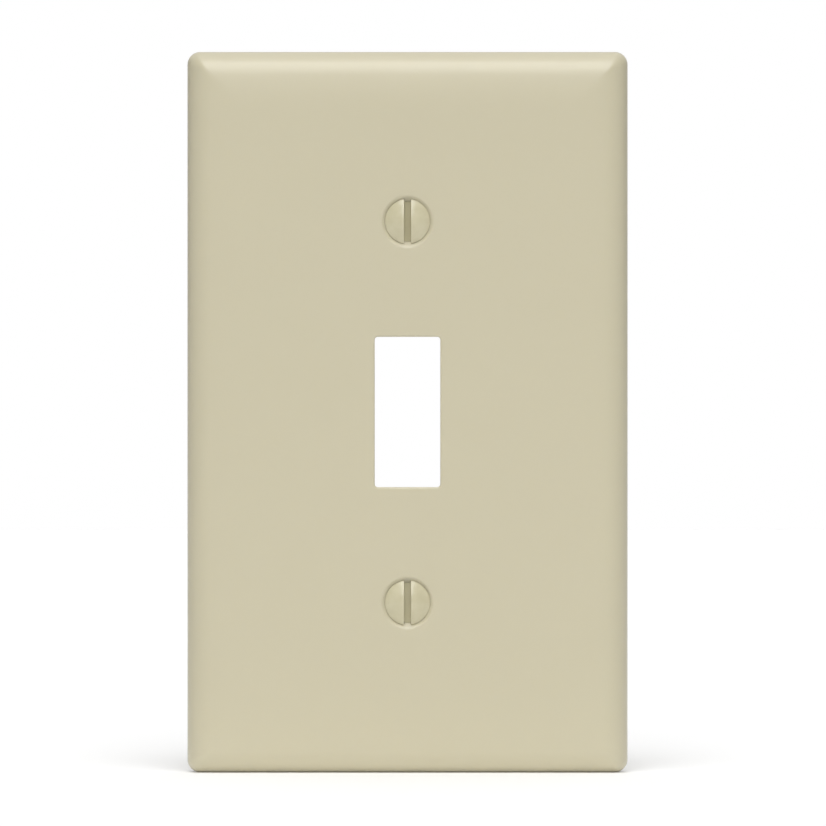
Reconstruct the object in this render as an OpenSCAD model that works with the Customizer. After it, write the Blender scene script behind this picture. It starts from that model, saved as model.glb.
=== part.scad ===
// One-gang wall plate for a toggle switch, with its two oval-head mounting screws.
// Millimetres. X runs across the plate and Z runs up the wall. The front faces -Y.
// The origin is the middle of the plate, in the plane where its rear rim meets the wall.

/* [Plate] */
// Width of the plate across the wall
plate_w = 69.85; // [66:0.05:90]
// Height of the plate up the wall
plate_h = 114.3; // [110:0.05:140]
// Depth from the wall to the flat of the face
plate_d = 5.6; // [5.4:0.1:7]
// Thickness of the face
face_t = 2.3; // [1.8:0.1:2.6]
// Thickness of the side walls
wall_t = 2.2; // [1.8:0.1:2.6]
// Radius of the four corners, seen from the front
corner_r = 2.0; // [1:0.1:4]
// Radius of the edge that rolls from the face to the side walls
roll_r = 4.2; // [3.6:0.1:4.6]
// Radius of the shallow crown between the flat of the face and the rolled edge
crown_r = 50; // [20:1:60]
// Slope, in degrees, at which the crown meets the rolled edge
crown_slope = 6; // [2:0.5:7]

/* [Toggle opening] */
// Width of the opening
opening_w = 10.4; // [10:0.1:11]
// Height of the opening
opening_h = 23.8; // [23:0.1:25]
// Radius of the opening's corners
opening_r = 0.5; // [0.2:0.1:1]
// Width of the lip round the opening, at the back
lip_w = 1.4; // [1:0.1:2]
// Height of that lip above the back of the face
lip_h = 0.8; // [0.4:0.1:1.2]

/* [Screw holes] */
// Distance between the centres of the two holes
screw_spacing = 60.325; // [58:0.005:64]
// Diameter of the clearance holes
hole_d = 3.96; // [3.8:0.02:4.2]
// Diameter of the countersinks at the face
sink_d = 8.0; // [7.8:0.1:8.4]
// Diameter of the bosses behind the holes
boss_d = 9.0; // [8.6:0.1:10]

/* [Screws] */
// Diameter of the head
head_d = 7.1; // [6.8:0.1:7.3]
// Included angle of the head and of its countersink, in degrees
head_angle = 82; // [80:1:84]
// Height of the oval top of the head
dome_h = 1.05; // [0.8:0.05:1.3]
// Width of the driver slot
slot_w = 1.1; // [1:0.05:1.2]
// Depth of the driver slot from the top of the head
slot_depth = 1.6; // [1.3:0.05:1.8]
// Length from the widest part of the head to the tip
screw_l = 12.7; // [11:0.1:20]
// Length of the plain neck between the head and the thread
neck_l = 1.0; // [0.9:0.1:1.6]
// Outer diameter of the thread
thread_d = 3.505; // [3.4:0.005:3.55]
// Pitch of the thread
pitch = 0.79375; // [0.75:0.00125:0.85]

/* [Ribs] */
// Thickness of the ribs
rib_t = 1.2; // [0.8:0.1:1.6]
// Room left under the ribs and bosses for the strap of the switch
strap_room = 1.9; // [1.7:0.1:2.2]
// Distance from the middle of the plate to each upright rib
rib_x = 13.5; // [11:0.5:20]

/* [Hidden] */

ivory = [0.80, 0.77, 0.67];
enamel = [0.79, 0.76, 0.65];
smooth = 96;
very_smooth = 720;

// Cavity behind the face
cavity_d = plate_d - face_t;
cavity_roll = 2.0;
cavity_corner_r = 0.8;

// Ribs, bosses and lip stand on the back of the face and are buried in it a little
buried = 0.3;
rib_end = wall_t + cavity_roll + 0.8;
cross_rib_z = [-42.5, -17.5, 17.5, 42.5];

// Ejector pin marks and the gate mark on the back of the face
pin_mark_d = 4.5;
pin_mark_depth = 0.12;
pin_mark_x = [-24, 24];
pin_mark_z = [-48, -30, 0, 30, 48];
gate_d = 2.2;
gate_h = 0.35;
gate_z = -21.5;

// Head of the screw. Depths are measured along the screw, from the widest part of the head.
// The seat gap lies between the cone of the head and its countersink.
head_slope = tan(head_angle / 2);
seat_gap = 0.05;
head_below_face = (sink_d - head_d) / 2 / head_slope - seat_gap / sin(head_angle / 2);
rim_h = 0.12;
neck_r = 1.45;
cone_h = (head_d / 2 - neck_r) / head_slope;
dome_r = (pow(head_d / 2, 2) + pow(dome_h, 2)) / (2 * dome_h);
thread_start = cone_h + neck_l;
thread_bevel = 0.3;
tip_bevel = 0.5;

// Thread groove: a 60 degree form that winds round the bar
thread_r = thread_d / 2;
groove_depth = 0.613 * pitch;
groove_root_w = pitch / 6;
groove_over = 0.05;
groove_out_w = groove_root_w + 2 * (groove_depth + groove_over) * tan(30);
groove_steps = 20;
runout_steps = 12;
groove_rings = ceil((screw_l - thread_start + pitch) / pitch * groove_steps);

// ---------- shared shapes ----------

module rounded_rectangle(w, h, r) {
    square([w - 2 * r, h], center = true);
    square([w, h - 2 * r], center = true);
    for (x = [-1, 1], y = [-1, 1])
        translate([x * (w / 2 - r), y * (h / 2 - r)])
            circle(r = r, $fn = smooth);
}

// Section of a moulding that lies on y = 0: flat in the middle, then a crown, then a rolled edge.
module moulding_section(w, d, roll, crown, slope) {
    roll_x = w / 2 - roll * (1 - sin(slope));
    crown_x = roll_x - crown * sin(slope);
    crown_w = roll_x - crown_x;
    side_h = d - crown * (1 - cos(slope)) - roll * cos(slope);
    translate([-w / 2, 0])
        square([w, side_h]);
    translate([-crown_x, 0])
        square([2 * crown_x, d]);
    for (side = [0, 1])
        mirror([side, 0]) {
            intersection() {
                translate([w / 2 - roll, side_h])
                    circle(r = roll, $fn = smooth);
                translate([roll_x, side_h])
                    square([w / 2 - roll_x, roll]);
            }
            if (crown_w > 0)
                intersection() {
                    translate([crown_x, d - crown])
                        circle(r = crown, $fn = very_smooth);
                    translate([crown_x, 0])
                        square([crown_w, d]);
                }
        }
}

// A moulding with the same section both ways and rounded corners, from y = 0 to y = -d.
module moulding(w, h, d, roll, crown, slope, corner) {
    intersection() {
        rotate([0, 0, 180])
            linear_extrude(height = h + 2, center = true)
                moulding_section(w, d, roll, crown, slope);
        rotate([180, 0, 0])
            rotate([0, 90, 0])
                linear_extrude(height = w + 2, center = true)
                    moulding_section(h, d, roll, crown, slope);
        forwards(0, d + 1)
            rounded_rectangle(w, h, corner);
    }
}

// Extrudes an outline in X and Z from y = -start to y = -end.
module forwards(start, end) {
    translate([0, -start, 0])
        rotate([90, 0, 0])
            linear_extrude(height = end - start)
                children();
}

// Puts children that point along +Z on the axis of the upper screw, side 1, or of the lower one, side -1.
// They then point from the face to the wall.
module at_screw(side) {
    translate([0, -plate_d, side * screw_spacing / 2])
        rotate([-90, 0, 0])
            children();
}

// ---------- wall plate ----------

module back_details() {
    forwards(strap_room, cavity_d + buried) {
        for (x = [-rib_x, rib_x])
            translate([x, 0])
                square([rib_t, plate_h - 2 * rib_end], center = true);
        for (z = cross_rib_z)
            translate([0, z])
                square([plate_w - 2 * rib_end, rib_t], center = true);
        for (side = [-1, 1])
            translate([0, side * screw_spacing / 2])
                circle(d = boss_d, $fn = smooth);
    }
    forwards(cavity_d - lip_h, cavity_d + buried)
        rounded_rectangle(opening_w + 2 * lip_w, opening_h + 2 * lip_w, opening_r + lip_w);
    forwards(cavity_d - gate_h, cavity_d + buried)
        translate([0, gate_z])
            circle(d = gate_d, $fn = smooth);
}

module screw_hole() {
    cylinder(h = 2 * plate_d, d = hole_d, $fn = smooth);
    translate([0, 0, -1])
        cylinder(
            h = 1 + (sink_d - hole_d) / 2 / head_slope,
            r1 = sink_d / 2 + head_slope,
            r2 = hole_d / 2,
            $fn = smooth
        );
}

module wall_plate() {
    color(ivory)
        difference() {
            union() {
                difference() {
                    moulding(plate_w, plate_h, plate_d, roll_r, crown_r, crown_slope, corner_r);
                    translate([0, 1, 0])
                        moulding(
                            plate_w - 2 * wall_t, plate_h - 2 * wall_t, cavity_d + 1,
                            cavity_roll, 1, 0, cavity_corner_r
                        );
                    forwards(cavity_d - buried, cavity_d + pin_mark_depth)
                        for (x = pin_mark_x, z = pin_mark_z)
                            translate([x, z])
                                circle(d = pin_mark_d, $fn = smooth);
                }
                back_details();
            }
            forwards(-1, plate_d + 1)
                rounded_rectangle(opening_w, opening_h, opening_r);
            for (side = [-1, 1])
                at_screw(side)
                    screw_hole();
        }
}

// ---------- screws ----------

// How far the groove's cutter is still outside the bar, at a step along the thread.
function groove_lift(i) = max(0, 1 - i / runout_steps) * (groove_depth + groove_over / 2);

function groove_ring(i) = let(
        a = 360 * i / groove_steps,
        z = thread_start + pitch * i / groove_steps,
        r_in = thread_r - groove_depth + groove_lift(i),
        r_out = thread_r + groove_over + groove_lift(i)
    ) [
        [r_in * cos(a), r_in * sin(a), z - groove_root_w / 2],
        [r_in * cos(a), r_in * sin(a), z + groove_root_w / 2],
        [r_out * cos(a), r_out * sin(a), z + groove_out_w / 2],
        [r_out * cos(a), r_out * sin(a), z - groove_out_w / 2]
    ];

module thread_groove() {
    points = [for (i = [0 : groove_rings]) each groove_ring(i)];
    last = 4 * groove_rings;
    sides = [
        for (i = [0 : groove_rings - 1], k = [0 : 3])
            let(a = 4 * i + k, b = 4 * i + (k + 1) % 4)
                each [[a, a + 4, b], [b, a + 4, b + 4]]
    ];
    caps = [[0, 1, 2], [0, 2, 3], [last + 2, last + 1, last], [last + 3, last + 2, last]];
    polyhedron(points = points, faces = concat(sides, caps), convexity = 10);
}

module screw_blank() {
    rotate_extrude($fn = smooth) {
        polygon([
            [0, -rim_h],
            [head_d / 2, -rim_h],
            [head_d / 2, 0],
            [neck_r, cone_h],
            [neck_r, thread_start - thread_bevel],
            [thread_r, thread_start],
            [thread_r, screw_l - tip_bevel],
            [thread_r - tip_bevel, screw_l],
            [0, screw_l]
        ]);
        intersection() {
            translate([0, dome_r - dome_h - rim_h])
                circle(r = dome_r, $fn = very_smooth);
            translate([0, -rim_h - dome_h])
                square([head_d / 2, dome_h + rim_h]);
        }
    }
}

module oval_head_screw() {
    color(enamel)
        translate([0, 0, head_below_face])
            difference() {
                screw_blank();
                thread_groove();
                translate([-slot_w / 2, -head_d, slot_depth - dome_h - rim_h - 2 * head_d])
                    cube([slot_w, 2 * head_d, 2 * head_d]);
            }
}

module upper_screw() {
    at_screw(1)
        oval_head_screw();
}

module lower_screw() {
    at_screw(-1)
        oval_head_screw();
}

wall_plate();
upper_screw();
lower_screw();
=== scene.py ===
"""Looks of the toggle switch wall plate: the moulded plate and its two screws.

Everything is in metres in the part's own frame: X across the plate, Z up the wall, the face looks along -Y,
and Y = 0 is the wall. Sizes below are in millimetres and pass through MM.
"""

import math

import bmesh
import bpy
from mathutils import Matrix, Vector
from mathutils.geometry import delaunay_2d_cdt


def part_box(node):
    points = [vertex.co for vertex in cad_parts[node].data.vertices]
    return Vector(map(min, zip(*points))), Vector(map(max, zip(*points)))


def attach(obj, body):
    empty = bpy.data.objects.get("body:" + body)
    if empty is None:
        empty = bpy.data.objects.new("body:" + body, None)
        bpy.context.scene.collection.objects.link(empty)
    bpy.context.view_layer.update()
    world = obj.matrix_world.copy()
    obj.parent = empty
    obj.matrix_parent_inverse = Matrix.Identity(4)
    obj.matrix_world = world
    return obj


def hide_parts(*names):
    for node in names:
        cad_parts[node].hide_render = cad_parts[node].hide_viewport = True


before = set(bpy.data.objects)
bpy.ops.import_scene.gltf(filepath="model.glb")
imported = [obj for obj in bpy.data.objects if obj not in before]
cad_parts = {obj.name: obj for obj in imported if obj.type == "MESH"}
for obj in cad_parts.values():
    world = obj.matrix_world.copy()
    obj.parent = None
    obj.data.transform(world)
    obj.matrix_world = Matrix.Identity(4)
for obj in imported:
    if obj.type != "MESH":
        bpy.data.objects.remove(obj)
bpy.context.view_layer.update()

MM = 0.001

# ---------- sizes, in millimetres ----------

plate_low, plate_high = (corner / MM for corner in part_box("wall_plate"))
PLATE_W = plate_high.x - plate_low.x
PLATE_H = plate_high.z - plate_low.z
PLATE_D = plate_high.y - plate_low.y
FACE_T = 2.3
WALL_T = 2.2
CORNER_R = 2.0
ROLL_R = 4.2
CROWN_R = 50.0
CROWN_SLOPE = math.radians(6)

OPENING_W = 10.4
OPENING_H = 23.8
OPENING_R = 0.5
LIP_W = 1.4
LIP_H = 0.8

CAVITY_D = PLATE_D - FACE_T
CAVITY_ROLL = 2.0
CAVITY_CORNER_R = 0.8

RIB_T = 1.2
RIB_X = 13.5
RIB_Z = [-42.5, -17.5, 17.5, 42.5]
RIB_GAP = 0.8
RIB_END = WALL_T + CAVITY_ROLL + RIB_GAP
STRAP_ROOM = 1.9

HOLE_R = 1.98
SINK_R = 4.0
BOSS_R = 4.5

PIN_MARK_R = 2.25
PIN_MARK_DEPTH = 0.12
PIN_MARKS = [(x, z) for x in (-24, 24) for z in (-48, -30, 0, 30, 48)]
GATE_R = 1.1
GATE_H = 0.35
GATE_Z = -21.5
GATE_EDGE_R = 0.1

# Soft edges, and how fast and how far the corners of the front sharpen towards the face
EDGE_R = 0.2
ROOT_R = 0.25
OPENING_EASE = 0.25
SINK_EASE = 0.12
CORNER_SHRINK = 0.6
MITRE_R = 0.5

HEAD_R = 3.55
HEAD_SLOPE = math.tan(math.radians(41))
HEAD_RIM_H = 0.12
DOME_H = 1.05
RIM_ROUND = 0.04
RIM_EASE = 0.03
DOME_EDGE_R = HEAD_R - RIM_ROUND
NECK_R = 1.45
NECK_EASE = 0.15
SLOT_W = 1.1
SLOT_DEPTH = 1.6
SLOT_EASE = 0.05
SCREW_L = 12.7
NECK_L = 1.0
TIP_BEVEL = 0.5
THREAD_BEVEL = 0.3
THREAD_R = 1.7525
PITCH = 0.79375
THREAD_DEPTH = 0.613 * PITCH
THREAD_FADE = 0.8 * PITCH
TIP_RING = 0.15
TIP_SUNK = 0.05

upper_low, upper_high = (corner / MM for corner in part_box("upper_screw"))
SCREW_Z = (upper_low.z + upper_high.z) / 2
SCREW_TIP_Y = upper_high.y
FACE_Y = -PLATE_D
FLOOR_Y = -CAVITY_D
LIP_Y = FLOOR_Y + LIP_H

# Fineness of the meshes: steps of the rounded stretches, flat bands round openings, and grids on flats
EDGE_STEPS = 3
EASE_STEPS = 4
CAVITY_STEPS = 8
CROWN_STEPS = 8
ROLL_STEPS = 16
ROUND_STEPS = 72
PIN_STEPS = 40
GATE_STEPS = 36
FACE_BAND = 0.6
OPENING_BAND = 0.35
SINK_BAND = 0.5
CONE_BAND = 0.9
FACE_GRID = 5
BACK_GRID = 6


# ---------- mesh building ----------

class Shell:
    """A surface built from loops of points that are joined ring to ring."""

    def __init__(self):
        self.points = []
        self.faces = []
        self.finishes = []
        self.finish = 0

    def face(self, *corners):
        self.faces.append(corners)
        self.finishes.append(self.finish)

    def loop(self, outline, y):
        """Adds an outline of (x, z) points at depth y, in millimetres, and returns its indices."""
        start = len(self.points)
        self.points += [(x, y, z) for x, z in outline]
        return list(range(start, len(self.points)))

    def join(self, first, second):
        """A band of four-sided faces between two loops of the same length."""
        for i in range(len(first)):
            j = (i + 1) % len(first)
            self.face(first[i], first[j], second[j], second[i])

    def chain(self, loops):
        for first, second in zip(loops, loops[1:]):
            self.join(first, second)

    def fill(self, outer, holes=(), spacing=None):
        """Fills the flat region inside one loop and outside the others with triangles."""
        loops = [outer, *holes]
        ids = [i for loop in loops for i in loop]
        flat = [Vector((self.points[i][0], self.points[i][2])) for i in ids]
        edges = []
        start = 0
        for loop in loops:
            edges += [(start + k, start + (k + 1) % len(loop)) for k in range(len(loop))]
            start += len(loop)
        outlines = [[(self.points[i][0], self.points[i][2]) for i in loop] for loop in loops]
        if spacing:
            y = self.points[outer[0]][1]
            for x, z in grid_points(outlines, spacing):
                ids.append(len(self.points))
                self.points.append((x, y, z))
                flat.append(Vector((x, z)))
        coords, _, triangles, origin, _, _ = delaunay_2d_cdt(flat, edges, [], 1, 1e-7)
        for triangle in triangles:
            centre = sum((coords[k] for k in triangle), Vector((0, 0))) / 3
            if inside_region(centre, outlines):
                self.face(*(ids[origin[k][0]] for k in triangle))

    def mesh_object(self, name, sharp_angle=35):
        mesh = bpy.data.meshes.new(name)
        points = [(x * MM, y * MM, z * MM) for x, y, z in self.points]
        mesh.from_pydata(points, [], self.faces)
        mesh.polygons.foreach_set("material_index", self.finishes)
        piece = bpy.data.objects.new(name, mesh)
        bpy.context.collection.objects.link(piece)
        clean_normals(mesh, sharp_angle)
        return piece


def clean_normals(mesh, sharp_angle):
    """Merges doubled points, turns every face outwards and marks the sharp edges."""
    work = bmesh.new()
    work.from_mesh(mesh)
    bmesh.ops.remove_doubles(work, verts=work.verts, dist=1e-7)
    bmesh.ops.dissolve_degenerate(work, edges=work.edges, dist=1e-7)
    bmesh.ops.recalc_face_normals(work, faces=work.faces)
    for face in work.faces:
        face.smooth = True
    for edge in work.edges:
        edge.smooth = edge.calc_face_angle(0) < math.radians(sharp_angle)
    work.to_mesh(mesh)
    work.free()


def inside(point, outline):
    """True if a point is inside a closed outline."""
    x, z = point
    odd = False
    for (ax, az), (bx, bz) in zip(outline, outline[1:] + outline[:1]):
        if (az > z) != (bz > z) and x < ax + (z - az) * (bx - ax) / (bz - az):
            odd = not odd
    return odd


def inside_region(point, outlines):
    return inside(point, outlines[0]) and not any(inside(point, hole) for hole in outlines[1:])


def grid_points(outlines, spacing):
    """A square grid of points in a region, none closer to its edges than half the spacing."""
    xs = [x for x, _ in outlines[0]]
    zs = [z for _, z in outlines[0]]
    rows = range(math.ceil(min(zs) / spacing), math.floor(max(zs) / spacing) + 1)
    columns = range(math.ceil(min(xs) / spacing), math.floor(max(xs) / spacing) + 1)
    edge_points = [Vector(point) for outline in outlines for point in outline]
    for row in rows:
        for column in columns:
            point = Vector((column * spacing, row * spacing))
            clear = all((point - edge).length > spacing / 2 for edge in edge_points)
            if clear and inside_region(point, outlines):
                yield point.x, point.y


# ---------- outlines ----------

def arc(steps, start, end):
    """Angles in radians from start to end, both given in degrees."""
    return [math.radians(start + (end - start) * k / steps) for k in range(steps + 1)]


def rounded_rectangle(w, h, r, corner_steps=10, across=12, up=20):
    """Points of a rounded rectangle about the origin, with extra points along its sides."""
    half_w, half_h = w / 2 - r, h / 2 - r
    centres = [(half_w, half_h), (-half_w, half_h), (-half_w, -half_h), (half_w, -half_h)]
    corners = [
        [(cx + r * math.cos(a), cz + r * math.sin(a)) for a in arc(corner_steps, 90 * k, 90 * k + 90)]
        for k, (cx, cz) in enumerate(centres)
    ]
    outline = []
    for k, corner in enumerate(corners):
        outline += corner
        (x, z), (next_x, next_z) = corner[-1], corners[(k + 1) % 4][0]
        side_steps = up if k % 2 else across
        for step in range(1, side_steps):
            t = step / side_steps
            outline.append((x + (next_x - x) * t, z + (next_z - z) * t))
    return outline


def circle(r, cx=0.0, cz=0.0, steps=ROUND_STEPS, start=0):
    turns = [math.radians(start + 360 * k / steps) for k in range(steps)]
    return [(cx + r * math.cos(a), cz + r * math.sin(a)) for a in turns]


def rib_outline(grow=0.0):
    """Outer outline of the crossed ribs, each edge moved outwards by grow."""
    t = RIB_T / 2 + grow
    end_x = PLATE_W / 2 - RIB_END + grow
    end_z = PLATE_H / 2 - RIB_END + grow
    near, far = RIB_X - t, RIB_X + t
    right = [(near, RIB_Z[-1] + t), (near, end_z), (far, end_z)]
    for z in reversed(RIB_Z):
        right += [(far, z + t), (end_x, z + t), (end_x, z - t), (far, z - t)]
    right += [(far, -end_z), (near, -end_z), (near, RIB_Z[0] - t)]
    left = [(-x, -z) for x, z in right]
    return right + left


def rib_cells(grow=0.0):
    """Outlines of the closed cells between the ribs, each rib edge moved outwards by grow."""
    t = RIB_T / 2 + grow
    x = RIB_X - t
    return [
        [(-x, low + t), (x, low + t), (x, high - t), (-x, high - t)]
        for low, high in zip(RIB_Z, RIB_Z[1:])
    ]


def plate_outline(inset, r):
    return rounded_rectangle(PLATE_W - 2 * inset, PLATE_H - 2 * inset, r)


def opening_outline(grow):
    r = OPENING_R + grow
    return rounded_rectangle(OPENING_W + 2 * grow, OPENING_H + 2 * grow, r, corner_steps=8, across=4, up=9)


# ---------- the plate ----------

# The plate's material slots: the front is the first one, and a new shell starts with it
BACK = 1


def raised(shell, outline, top_y, root_r=ROOT_R, edge_r=EDGE_R):
    """Walls of a feature that stands on the cavity's floor. outline(grow) gives its edge.

    Returns its root loop and its top loop.
    """
    loops = [
        shell.loop(outline(root_r - root_r * math.sin(a)), FLOOR_Y + root_r - root_r * math.cos(a))
        for a in arc(EDGE_STEPS, 0, 90)
    ]
    loops += [
        shell.loop(outline(-edge_r + edge_r * math.cos(a)), top_y - edge_r + edge_r * math.sin(a))
        for a in arc(EDGE_STEPS, 0, 90)
    ]
    shell.chain(loops)
    return loops[0], loops[-1]


def front_loops(shell):
    """Loops from the outer edge of the rim, up the side wall and round to the flat of the face."""
    side_h = PLATE_D - CROWN_R * (1 - math.cos(CROWN_SLOPE)) - ROLL_R * math.cos(CROWN_SLOPE)
    slope = math.degrees(CROWN_SLOPE)
    profile = [
        (EDGE_R - EDGE_R * math.sin(a), EDGE_R * math.cos(a) - EDGE_R) for a in arc(EDGE_STEPS, 0, 90)
    ]
    profile += [
        (ROLL_R * (1 - math.sin(a)), -side_h - ROLL_R * math.cos(a)) for a in arc(ROLL_STEPS, 90, slope)
    ]
    crown_start = profile[-1][0]
    for a in arc(CROWN_STEPS, slope, 0)[1:]:
        inset = crown_start + CROWN_R * (math.sin(CROWN_SLOPE) - math.sin(a))
        profile.append((inset, FACE_Y + CROWN_R * (1 - math.cos(a))))
    profile.append((profile[-1][0] + FACE_BAND, FACE_Y))
    loops = []
    for inset, y in profile:
        corner_r = max(CORNER_R - CORNER_SHRINK * inset, MITRE_R)
        loops.append(shell.loop(plate_outline(inset, corner_r), y))
    shell.chain(loops)
    return loops


def opening_loops(shell):
    """Loops of the toggle opening, from the face to the lip behind it."""
    loops = [shell.loop(opening_outline(OPENING_EASE + OPENING_BAND), FACE_Y)]
    for a in arc(EASE_STEPS, 0, 90):
        y = FACE_Y + OPENING_EASE - OPENING_EASE * math.cos(a)
        loops.append(shell.loop(opening_outline(OPENING_EASE - OPENING_EASE * math.sin(a)), y))
    for a in arc(EDGE_STEPS, 0, 90):
        y = LIP_Y - EDGE_R + EDGE_R * math.sin(a)
        loops.append(shell.loop(opening_outline(EDGE_R - EDGE_R * math.cos(a)), y))
    shell.chain(loops)
    return loops


def hole_loops(shell, centre_z):
    """Loops of a countersunk screw hole, from the face to the boss behind it."""
    profile = [
        (SINK_R + SINK_BAND, FACE_Y),
        (SINK_R + SINK_EASE, FACE_Y),
        (SINK_R + SINK_EASE / 3, FACE_Y + SINK_EASE / 3),
        (SINK_R - SINK_EASE * HEAD_SLOPE, FACE_Y + SINK_EASE),
        (HOLE_R, FACE_Y + (SINK_R - HOLE_R) / HEAD_SLOPE),
    ]
    profile += [
        (HOLE_R + EDGE_R - EDGE_R * math.cos(a), -STRAP_ROOM - EDGE_R + EDGE_R * math.sin(a))
        for a in arc(EDGE_STEPS, 0, 90)
    ]
    loops = [shell.loop(circle(r, 0, centre_z), y) for r, y in profile]
    shell.chain(loops)
    return loops


def cavity_loops(shell):
    """Loops from the rim's inner edge, up the inside of the wall and round to the cavity's floor."""
    profile = [
        (WALL_T - EDGE_R + EDGE_R * math.sin(a), EDGE_R * math.cos(a) - EDGE_R)
        for a in arc(EDGE_STEPS, 0, 90)
    ]
    centre_x, centre_y = WALL_T + CAVITY_ROLL, CAVITY_ROLL - CAVITY_D
    profile += [
        (centre_x - CAVITY_ROLL * math.cos(a), centre_y - CAVITY_ROLL * math.sin(a))
        for a in arc(CAVITY_STEPS, 0, 90)
    ]
    loops = [shell.loop(plate_outline(inset, CAVITY_CORNER_R), y) for inset, y in profile]
    shell.chain(loops)
    return loops


def standing_features(shell, opening_end, hole_ends):
    """The lip, the two bosses and the gate mark. Returns their roots, by the cell of the ribs they are in."""
    root, top = raised(shell, lambda grow: opening_outline(LIP_W + grow), LIP_Y)
    shell.join(opening_end, top)
    cells = {"low": [], "middle": [root], "high": []}
    for side, cell in ((-1, "low"), (1, "high")):
        root, top = raised(shell, lambda grow: circle(BOSS_R + grow, 0, side * SCREW_Z), -STRAP_ROOM)
        shell.join(hole_ends[side], top)
        cells[cell].append(root)
    root, top = raised(
        shell, lambda grow: circle(GATE_R + grow, 0, GATE_Z, GATE_STEPS),
        FLOOR_Y + GATE_H, GATE_EDGE_R, GATE_EDGE_R,
    )
    shell.fill(top)
    cells["low"].append(root)
    return cells


def ribs(shell, cells):
    """The crossed ribs and the floor inside their cells. Returns the root of their outer edge."""
    outer_root, outer_top = raised(shell, rib_outline, -STRAP_ROOM)
    cell_tops = []
    for k, features in enumerate(cells.values()):
        root, top = raised(shell, lambda grow: rib_cells(grow)[k], -STRAP_ROOM)
        shell.fill(root, features, spacing=BACK_GRID)
        cell_tops.append(top)
    shell.fill(outer_top, cell_tops)
    return outer_root


def pin_marks(shell):
    """The shallow marks of the ejector pins. Returns their rims."""
    rims = []
    base_r, base_y = PIN_MARK_R - PIN_MARK_DEPTH / 2, FLOOR_Y - PIN_MARK_DEPTH
    for x, z in PIN_MARKS:
        rim = shell.loop(circle(PIN_MARK_R, x, z, PIN_STEPS), FLOOR_Y)
        base = shell.loop(circle(base_r, x, z, PIN_STEPS), base_y)
        shell.join(rim, base)
        shell.fill(base)
        rims.append(rim)
    return rims


def build_plate():
    shell = Shell()
    front = front_loops(shell)
    opening = opening_loops(shell)
    holes = {side: hole_loops(shell, side * SCREW_Z) for side in (-1, 1)}
    shell.fill(front[-1], [opening[0], holes[-1][0], holes[1][0]], spacing=FACE_GRID)

    shell.finish = BACK
    cavity = cavity_loops(shell)
    shell.join(front[0], cavity[0])
    cells = standing_features(shell, opening[-1], {side: loops[-1] for side, loops in holes.items()})
    rib_root = ribs(shell, cells)
    shell.fill(cavity[-1], [rib_root] + pin_marks(shell), spacing=BACK_GRID)
    return shell.mesh_object("moulded_plate")


plate = build_plate()
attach(plate, "plate")
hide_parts("wall_plate")

# ---------- the screws ----------

HEAD_Y = SCREW_TIP_Y - SCREW_L
CONE_H = (HEAD_R - NECK_R) / HEAD_SLOPE
DOME_R = (HEAD_R ** 2 + DOME_H ** 2) / (2 * DOME_H)
DOME_TOP_Y = HEAD_Y - HEAD_RIM_H - DOME_H
NECK_END_Y = HEAD_Y + CONE_H + NECK_L - THREAD_BEVEL
SLOT_FLOOR_Y = DOME_TOP_Y + SLOT_DEPTH
SLOT_FLOOR_R = HEAD_R - (SLOT_FLOOR_Y - HEAD_Y) * HEAD_SLOPE

# The head is built in two sides with the slot between them: steps round each side and across the slot's
# end, and steps along half of the slot, with their places along it as shares of that half.
SIDE_STEPS = 32
END_STEPS = 4
SLOT_STEPS = 12
SLOT_SHARES = [1 - k / SLOT_STEPS for k in range(1, 2 * SLOT_STEPS)]
# Below the slot the head's rings are even circles, which start at this angle
RING_START = -80
# The thread is laid past both ends of the shank, by these numbers of turns, and pressed flat there
LEAD_TURNS = 2
TAIL_TURNS = 4


def dome_y(r):
    return DOME_TOP_Y + DOME_R - math.sqrt(DOME_R ** 2 - r ** 2)


def side_arc(r, x):
    """Points at radius r round one side of the head, between the two ends of a straight line at x."""
    half = math.degrees(math.acos(x / r))
    return [(r * math.cos(a), r * math.sin(a)) for a in arc(SIDE_STEPS, -half, half)]


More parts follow.
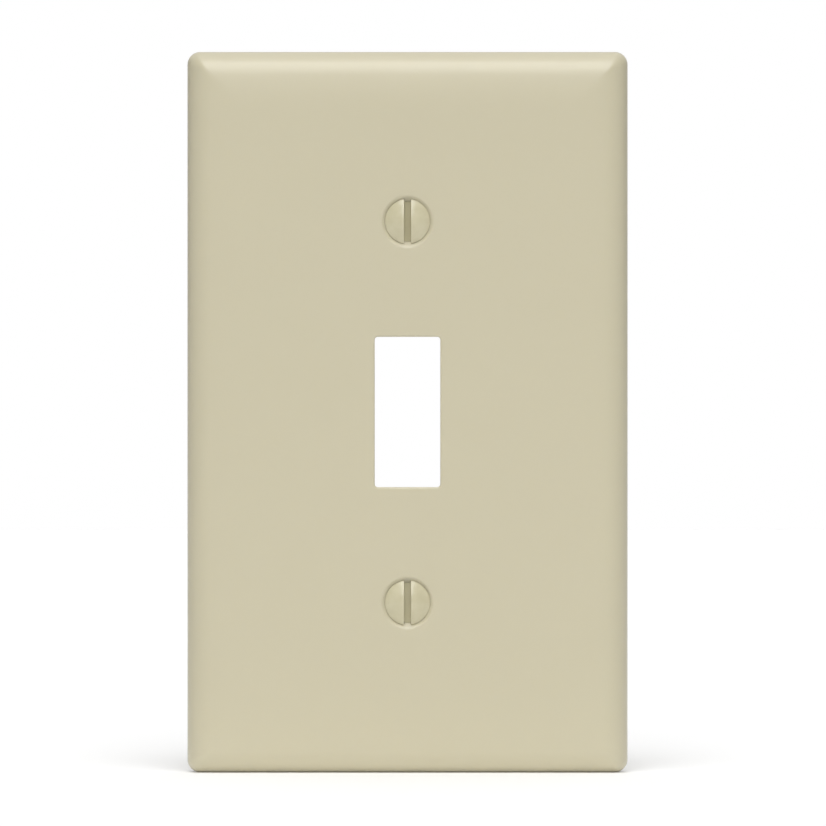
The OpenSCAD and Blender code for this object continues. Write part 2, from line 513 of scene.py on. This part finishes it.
def head_side(shell, centre_z, turn):
    """Dome, rim and slot wall on one side of the slot, or on the other if turn is -1.

    Returns its lowest loop.
    """
    def add(points):
        start = len(shell.points)
        shell.points += [(turn * x, y, centre_z + turn * z) for x, y, z in points]
        return list(range(start, len(shell.points)))

    # Arcs that grow over the dome from the middle of the slot's edge
    edge_x = SLOT_W / 2 + SLOT_EASE
    edge_z = math.sqrt(DOME_EDGE_R ** 2 - edge_x ** 2)
    middle = add([(edge_x, dome_y(edge_x), 0)])[0]
    arcs = []
    for k in range(1, SLOT_STEPS + 1):
        r = math.hypot(edge_x, edge_z * k / SLOT_STEPS)
        arcs.append(add([(x, dome_y(r), z) for x, z in side_arc(r, edge_x)]))
    for j in range(SIDE_STEPS):
        shell.face(middle, arcs[0][j], arcs[0][j + 1])
        for inner, outer in zip(arcs, arcs[1:]):
            shell.face(inner[j], inner[j + 1], outer[j + 1], outer[j])

    # Loops round this side: the eased edge, then the slot wall with the rim and the cone
    inner_arcs = arcs[:-1]
    loops = [arcs[-1] + [a[-1] for a in reversed(inner_arcs)] + [middle] + [a[0] for a in inner_arcs]]
    for a in arc(EDGE_STEPS, 0, 90)[1:]:
        x = edge_x - SLOT_EASE * math.sin(a)
        r = DOME_EDGE_R + (HEAD_R - DOME_EDGE_R) * math.sin(a)
        sunk = SLOT_EASE * (1 - math.cos(a))
        end_z = math.sqrt(r ** 2 - x ** 2)
        rim = [(rim_x, dome_y(DOME_EDGE_R) + sunk, rim_z) for rim_x, rim_z in side_arc(r, x)]
        wall = [
            (x, dome_y(math.hypot(edge_x, edge_z * share)) + sunk, end_z * share)
            for share in SLOT_SHARES
        ]
        loops.append(add(rim + wall))
    wall_x = SLOT_W / 2
    for r, y in (
        (HEAD_R, HEAD_Y - RIM_EASE),
        (HEAD_R - RIM_EASE * HEAD_SLOPE, HEAD_Y + RIM_EASE),
        (SLOT_FLOOR_R, SLOT_FLOOR_Y),
    ):
        end_z = math.sqrt(r ** 2 - wall_x ** 2)
        rim = [(rim_x, y, rim_z) for rim_x, rim_z in side_arc(r, wall_x)]
        loops.append(add(rim + [(wall_x, y, end_z * share) for share in SLOT_SHARES]))
    shell.chain(loops)
    return loops[-1]


def build_head(shell, centre_z):
    """The oval head with its slot, down to the end of the plain neck."""
    right = head_side(shell, centre_z, 1)
    left = head_side(shell, centre_z, -1)

    # The slot's floor, in columns that run from its upper end to its lower end
    columns = [right[SIDE_STEPS:] + right[:1]]
    half_angle = math.asin(SLOT_W / 2 / SLOT_FLOOR_R)
    for k in range(1, END_STEPS):
        a = half_angle * (1 - 2 * k / END_STEPS)
        x, end_z = SLOT_FLOOR_R * math.sin(a), SLOT_FLOOR_R * math.cos(a)
        column = [(x, centre_z + end_z * share) for share in (1, *SLOT_SHARES, -1)]
        columns.append(shell.loop(column, SLOT_FLOOR_Y))
    columns.append(left[:1] + left[:SIDE_STEPS - 1:-1])
    for first, second in zip(columns, columns[1:]):
        for k in range(2 * SLOT_STEPS):
            shell.face(first[k], first[k + 1], second[k + 1], second[k])

    # The whole ring at the slot's floor, and the cone and the neck below it
    upper_end = [column[0] for column in columns[1:-1]]
    lower_end = [column[-1] for column in reversed(columns[1:-1])]
    loops = [right[:SIDE_STEPS + 1] + upper_end + left[:SIDE_STEPS + 1] + lower_end]
    for r, y in (
        (NECK_R + CONE_BAND, HEAD_Y + CONE_H - CONE_BAND / HEAD_SLOPE),
        (NECK_R + NECK_EASE, HEAD_Y + CONE_H - NECK_EASE / HEAD_SLOPE),
        (NECK_R + NECK_EASE / 4, HEAD_Y + CONE_H),
        (NECK_R, HEAD_Y + CONE_H + NECK_EASE),
        (NECK_R, NECK_END_Y),
    ):
        loops.append(shell.loop(circle(r, 0, centre_z, start=RING_START), y))
    shell.chain(loops)


def thread_section():
    """One turn of the thread: places along the pitch, as shares of it, and radii. The corners are eased."""
    # Half of the flat at the crest and of the flat at the root
    crest, root = 1 / 16, 1 / 12
    ease = 0.025
    ease_r = ease * PITCH / math.tan(math.radians(30))
    root_r = THREAD_R - THREAD_DEPTH
    return [
        (-crest - ease, THREAD_R - ease_r), (-crest + ease / 2, THREAD_R),
        (crest - ease / 2, THREAD_R), (crest + ease, THREAD_R - ease_r),
        (0.5 - root - ease, root_r + ease_r), (0.5 - root + ease, root_r),
        (0.5 + root - ease, root_r), (0.5 + root + ease, root_r + ease_r),
    ]


def thread_radius(r, y):
    """Radius of the thread's surface at depth y: it fades in after the neck and the tip is bevelled."""
    fade = min(max((y - NECK_END_Y - THREAD_BEVEL) / THREAD_FADE, 0), 1)
    r = THREAD_R - (THREAD_R - r) * fade
    rise = NECK_R + (y - NECK_END_Y) * (THREAD_R - NECK_R) / THREAD_BEVEL
    bevel = THREAD_R - TIP_BEVEL + (SCREW_TIP_Y - y)
    return min(r, rise, bevel)


def thread_lines(shell, centre_z):
    """The thread as lines that wind round the screw, joined side by side into one skin."""
    section = thread_section()
    turns = math.ceil((SCREW_TIP_Y - NECK_END_Y) / PITCH)
    lines = []
    for turn in range(-LEAD_TURNS, turns + TAIL_TURNS):
        for place, r in section:
            start = len(shell.points)
            for step in range(ROUND_STEPS):
                angle = 2 * math.pi * step / ROUND_STEPS
                y = NECK_END_Y + PITCH * (turn + place + step / ROUND_STEPS)
                y = min(max(y, NECK_END_Y), SCREW_TIP_Y)
                reach = thread_radius(r, y)
                shell.points.append((reach * math.cos(angle), y, centre_z + reach * math.sin(angle)))
            lines.append(start)
    per_turn = len(section)
    for k in range(len(lines) - per_turn - 1):
        for step in range(ROUND_STEPS):
            a, b = lines[k] + step, lines[k + 1] + step
            if step + 1 < ROUND_STEPS:
                shell.face(a, b, b + 1, a + 1)
            else:
                shell.face(a, b, lines[k + 1 + per_turn], lines[k + per_turn])


def build_screw(name, centre_z):
    shell = Shell()
    build_head(shell, centre_z)
    thread_lines(shell, centre_z)
    end_r = THREAD_R - TIP_BEVEL
    tip = [
        (end_r, SCREW_TIP_Y),
        (end_r - TIP_RING, SCREW_TIP_Y),
        (end_r - 2 * TIP_RING, SCREW_TIP_Y - TIP_SUNK),
    ]
    loops = [shell.loop(circle(r, 0, centre_z), y) for r, y in tip]
    shell.chain(loops)
    shell.fill(loops[-1])
    return shell.mesh_object(name)


screws = []
for side, name in ((1, "upper_screw"), (-1, "lower_screw")):
    screw = build_screw(name + "_detailed", side * SCREW_Z)
    screws.append(screw)
    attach(screw, name)
    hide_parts(name)

# ---------- materials ----------

# The middle of a noise's range, which gives strong contrast, and nearly all of it, which gives soft change
MIDDLE = (0.3, 0.7)
WHOLE = (0.1, 0.9)


class Look:
    """A node material with one Principled shader, and short ways to add what drives it."""

    def __init__(self, name):
        self.material = bpy.data.materials.new(name)
        self.material.use_nodes = True
        self.tree = self.material.node_tree
        self.shader = self.tree.nodes["Principled BSDF"]
        self.place = self.tree.nodes.new("ShaderNodeTexCoord").outputs["Object"]

    def link(self, source, target):
        self.tree.links.new(source, target)

    def noise(self, size_mm, detail=2.0, roughness=0.5, stretch=(1, 1, 1)):
        """Noise whose blobs are about size_mm across, from 0 to 1 about 0.5."""
        mapping = self.tree.nodes.new("ShaderNodeMapping")
        mapping.inputs["Scale"].default_value = [s / (size_mm * MM) for s in stretch]
        texture = self.tree.nodes.new("ShaderNodeTexNoise")
        texture.inputs["Scale"].default_value = 1.0
        texture.inputs["Detail"].default_value = detail
        texture.inputs["Roughness"].default_value = roughness
        self.link(self.place, mapping.inputs["Vector"])
        self.link(mapping.outputs["Vector"], texture.inputs["Vector"])
        return texture.outputs["Fac"]

    def ramp(self, value, low, high, source=MIDDLE):
        """A value moved from its source range to the range from low to high, and kept inside it."""
        node = self.tree.nodes.new("ShaderNodeMapRange")
        node.inputs["From Min"].default_value, node.inputs["From Max"].default_value = source
        node.inputs["To Min"].default_value = low
        node.inputs["To Max"].default_value = high
        self.link(value, node.inputs["Value"])
        return node.outputs["Result"]

    def math(self, operation, first, second):
        """Arithmetic on two values. Each may be a number or another node's output."""
        node = self.tree.nodes.new("ShaderNodeMath")
        node.operation = operation
        for value, target in zip((first, second), node.inputs):
            if isinstance(value, (int, float)):
                target.default_value = value
            else:
                self.link(value, target)
        return node.outputs["Value"]

    def mix(self, share, first, second):
        """A colour between two colours. Each may be a tuple or another node's output."""
        node = self.tree.nodes.new("ShaderNodeMix")
        node.data_type = "RGBA"
        self.link(share, node.inputs["Factor"])
        for value, target in ((first, node.inputs[6]), (second, node.inputs[7])):
            if isinstance(value, tuple):
                target.default_value = (*value, 1)
            else:
                self.link(value, target)
        return node.outputs[2]

    def bump(self, height, depth_mm, under=None):
        """Relief whose full height is depth_mm, laid over any relief under it."""
        node = self.tree.nodes.new("ShaderNodeBump")
        node.inputs["Strength"].default_value = 1.0
        node.inputs["Distance"].default_value = depth_mm * MM
        self.link(height, node.inputs["Height"])
        if under:
            self.link(under, node.inputs["Normal"])
        return node.outputs["Normal"]

    def set(self, **values):
        """Sets or links inputs of the shader. In their names an underscore stands for a space."""
        for name, value in values.items():
            target = self.shader.inputs[name.replace("_", " ")]
            if isinstance(value, bpy.types.NodeSocket):
                self.link(value, target)
            elif isinstance(value, tuple) and len(target.default_value) == 4:
                target.default_value = (*value, 1)
            else:
                target.default_value = value


IVORY_DEEP = (0.530, 0.489, 0.350)
IVORY_PALE = (0.557, 0.514, 0.371)
ENAMEL_DEEP = (0.515, 0.475, 0.320)
ENAMEL_PALE = (0.560, 0.520, 0.360)
# Painted shade: a darker enamel colour for the inside of the slot, standing in for the shade in the recess
SLOT_PAINTED_SHADE = (0.475, 0.437, 0.286)
ZINC_BLUE = (0.66, 0.69, 0.74)
ZINC_WARM = (0.76, 0.74, 0.68)

# Where the enamel ends, as a share of the cone's height, and in millimetres how softly and how unevenly
PAINT_REACH = 0.7
PAINT_FADE = 0.25
OVERSPRAY = 1.6

# What the front and the back of the moulding share
MOULDING = {
    "IOR": 1.5,
    "Subsurface_Weight": 0.08,
    "Subsurface_Radius": (1.0, 0.8, 0.5),
    "Subsurface_Scale": 0.6 * MM,
}


def moulded_front():
    """Glossy moulded ivory: faintly clouded colour, fine specks, orange peel and a slightly uneven gloss."""
    look = Look("moulded_ivory_gloss")
    cloud = look.ramp(look.noise(30), 0.35, 0.65, WHOLE)
    speck = look.ramp(look.noise(0.35, detail=1), -0.08, 0.08, WHOLE)
    tone = look.math("ADD", cloud, speck)
    peel = look.bump(look.noise(2.2, detail=1), 0.0035)
    grain = look.bump(look.noise(0.16), 0.0004, under=peel)
    look.set(
        Base_Color=look.mix(tone, IVORY_DEEP, IVORY_PALE),
        Roughness=look.ramp(look.noise(4), 0.285, 0.33, WHOLE),
        Normal=grain,
        **MOULDING,
    )
    return look.material


def moulded_back():
    """The same moulding where the tool was left matt: spark-eroded grain and faint flow lines."""
    look = Look("moulded_ivory_matt")
    cloud = look.ramp(look.noise(14, detail=4), 0.1, 0.7)
    flow = look.ramp(look.noise(9, detail=4, stretch=(1, 1, 0.12)), -0.12, 0.12)
    grain = look.bump(look.noise(0.55, detail=3, roughness=0.6), 0.045)
    scratch = look.bump(look.noise(1.4, detail=3, stretch=(6, 1, 0.15)), 0.004, under=grain)
    look.set(
        Base_Color=look.mix(look.math("ADD", cloud, flow), IVORY_DEEP, IVORY_PALE),
        Roughness=look.ramp(look.noise(3, detail=4), 0.48, 0.62),
        Normal=scratch,
        **MOULDING,
    )
    return look.material


def screw_finish():
    """Ivory enamel on the head, thinning over the cone into the bright zinc of the shank. Across the slot's
    width the enamel gets a darker colour, which is painted shade for the recess.
    """
    look = Look("enamel_over_zinc")
    split = look.tree.nodes.new("ShaderNodeSeparateXYZ")
    look.link(look.place, split.inputs["Vector"])
    uneven = look.math("SUBTRACT", look.noise(0.5, detail=4), 0.5)
    depth = look.math("ADD", split.outputs["Y"], look.math("MULTIPLY", uneven, OVERSPRAY * MM))
    paint_end = (HEAD_Y + PAINT_REACH * CONE_H) * MM
    paint = look.ramp(depth, 1, 0, (paint_end - PAINT_FADE * MM, paint_end + PAINT_FADE * MM))
    # Painted shade: the enamel is darkened across the slot's width, for the shade that falls in the recess
    off_centre = look.math("ABSOLUTE", split.outputs["X"], 0)
    slot_shade_mask = look.ramp(off_centre, 1, 0, (0.49 * SLOT_W * MM, 0.51 * SLOT_W * MM))
    cloud = look.mix(look.ramp(look.noise(1.8, detail=3), 0, 1), ENAMEL_DEEP, ENAMEL_PALE)
    enamel = look.mix(slot_shade_mask, cloud, SLOT_PAINTED_SHADE)
    zinc = look.mix(look.ramp(look.noise(2.5, detail=3), 0, 1), ZINC_BLUE, ZINC_WARM)
    zinc_gloss = look.ramp(look.noise(0.8, detail=5, roughness=0.65), 0.24, 0.42)
    enamel_gloss = look.ramp(look.noise(1.2, detail=3), 0.13, 0.19, WHOLE)
    bare = look.math("SUBTRACT", 1, paint)
    gloss = look.math(
        "ADD", look.math("MULTIPLY", paint, enamel_gloss), look.math("MULTIPLY", bare, zinc_gloss)
    )
    peel = look.bump(look.noise(0.6, detail=1), 0.0015)
    look.set(
        Base_Color=look.mix(paint, zinc, enamel),
        Metallic=bare,
        Roughness=gloss,
        Normal=look.bump(look.noise(0.12), 0.0003, under=peel),
        IOR=1.52,
    )
    return look.material


def pale_floor():
    look = Look("pale_floor")
    look.set(Base_Color=(0.95, 0.95, 0.95), Roughness=0.9, Specular_IOR_Level=0.1)
    return look.material


plate.data.materials.append(moulded_front())
plate.data.materials.append(moulded_back())
finish = screw_finish()
for screw in screws:
    screw.data.materials.append(finish)


# ---------- studio ----------

BASE_LIGHT = 0.12
# Soft boxes in the sky: azimuth and elevation of the middle, inner and outer half angle, all in degrees,
# and strength
SOFT_BOXES = {
    "key_low": (0, 30, 3, 24, 3.65),
    "key_high": (0, 60, 3, 27, 4.6),
    "top": (0, 85, 5, 40, 1.0),
    "behind": (180, 40, 20, 60, 0.6),
}

# The card on the floor before the plate: width and depth, its rear edge, its height and its strength
BOUNCE_SIZE = (160, 14)
BOUNCE_Y = -2
BOUNCE_LIFT = 0.1
BOUNCE_LIGHT = 0.18

FLOOR_RINGS = (100, 300, 900, 2500)
FLOOR_STEPS = 96
FLOOR_GRID = 25


def direction(azimuth, elevation):
    """Unit vector towards a light. Azimuth 0 is on the camera's side, and it grows towards +X."""
    a, e = math.radians(azimuth), math.radians(elevation)
    return Vector((math.sin(a) * math.cos(e), -math.cos(a) * math.cos(e), math.sin(e)))


def build_world():
    """A studio of soft boxes round the part. The camera sees a plain white sweep behind it."""
    world = bpy.data.worlds.new("studio")
    bpy.context.scene.world = world
    world.use_nodes = True
    nodes, links = world.node_tree.nodes, world.node_tree.links
    place = nodes.new("ShaderNodeTexCoord").outputs["Generated"]
    total = None
    for name, (azimuth, elevation, inner, outer, strength) in SOFT_BOXES.items():
        facing = nodes.new("ShaderNodeVectorMath")
        facing.operation = "DOT_PRODUCT"
        facing.inputs[1].default_value = direction(azimuth, elevation)
        links.new(place, facing.inputs[0])
        glow = nodes.new("ShaderNodeMapRange")
        glow.name = name
        glow.interpolation_type = "SMOOTHSTEP"
        glow.inputs["From Min"].default_value = math.cos(math.radians(outer))
        glow.inputs["From Max"].default_value = math.cos(math.radians(inner))
        glow.inputs["To Max"].default_value = strength
        links.new(facing.outputs["Value"], glow.inputs["Value"])
        add = nodes.new("ShaderNodeMath")
        add.name = name + "_sum"
        add.inputs[0].default_value = BASE_LIGHT
        if total:
            links.new(total, add.inputs[0])
        links.new(glow.outputs["Result"], add.inputs[1])
        total = add.outputs["Value"]
    studio = nodes["Background"]
    studio.inputs["Color"].default_value = (1, 1, 1, 1)
    links.new(total, studio.inputs["Strength"])
    sweep = nodes.new("ShaderNodeBackground")
    sweep.inputs["Color"].default_value = (1, 1, 1, 1)
    choose = nodes.new("ShaderNodeMixShader")
    links.new(nodes.new("ShaderNodeLightPath").outputs["Is Camera Ray"], choose.inputs["Fac"])
    links.new(studio.outputs["Background"], choose.inputs[1])
    links.new(sweep.outputs["Background"], choose.inputs[2])
    links.new(choose.outputs["Shader"], nodes["World Output"].inputs["Surface"])


def build_floor():
    """A round floor at the plate's lower edge. It is built upright, like all shells, and then laid flat."""
    shell = Shell()
    rings = [shell.loop(circle(r, steps=FLOOR_STEPS), 0) for r in FLOOR_RINGS]
    shell.chain(rings)
    shell.fill(rings[0], spacing=FLOOR_GRID)
    shell.points = [(x, z, plate_low.z) for x, _, z in shell.points]
    floor = shell.mesh_object("floor")
    floor.data.materials.append(pale_floor())


def build_bounce():
    """A bright card that lies on the floor before the plate and lifts the shade under its lower edge."""
    card = bpy.data.lights.new("bounce", "AREA")
    card.shape = "RECTANGLE"
    card.size, card.size_y = (side * MM for side in BOUNCE_SIZE)
    card.energy = BOUNCE_LIGHT * math.pi * card.size * card.size_y
    light = bpy.data.objects.new("bounce", card)
    bpy.context.collection.objects.link(light)
    light.location = (0, (BOUNCE_Y - BOUNCE_SIZE[1] / 2) * MM, (plate_low.z + BOUNCE_LIFT) * MM)
    light.rotation_euler = (math.pi, 0, 0)
    light.visible_camera = False


build_world()
build_floor()
build_bounce()

bpy.context.scene.view_settings.view_transform = "Standard"


# ---------- camera: distance from the face, width of the view at the face, and place, in metres ----------

CAMERA_DISTANCE = 1.2
VIEW_W = 0.13063
CAMERA_X = 0.00087
CAMERA_Z = -0.00016

camera_data = bpy.data.cameras.new("camera")
camera_data.sensor_width = 36
camera_data.lens = camera_data.sensor_width * CAMERA_DISTANCE / VIEW_W
camera = bpy.data.objects.new("camera", camera_data)
bpy.context.collection.objects.link(camera)
camera.location = (CAMERA_X, FACE_Y * MM - CAMERA_DISTANCE, CAMERA_Z)
camera.rotation_euler = (math.radians(90), 0, 0)
bpy.context.scene.camera = camera
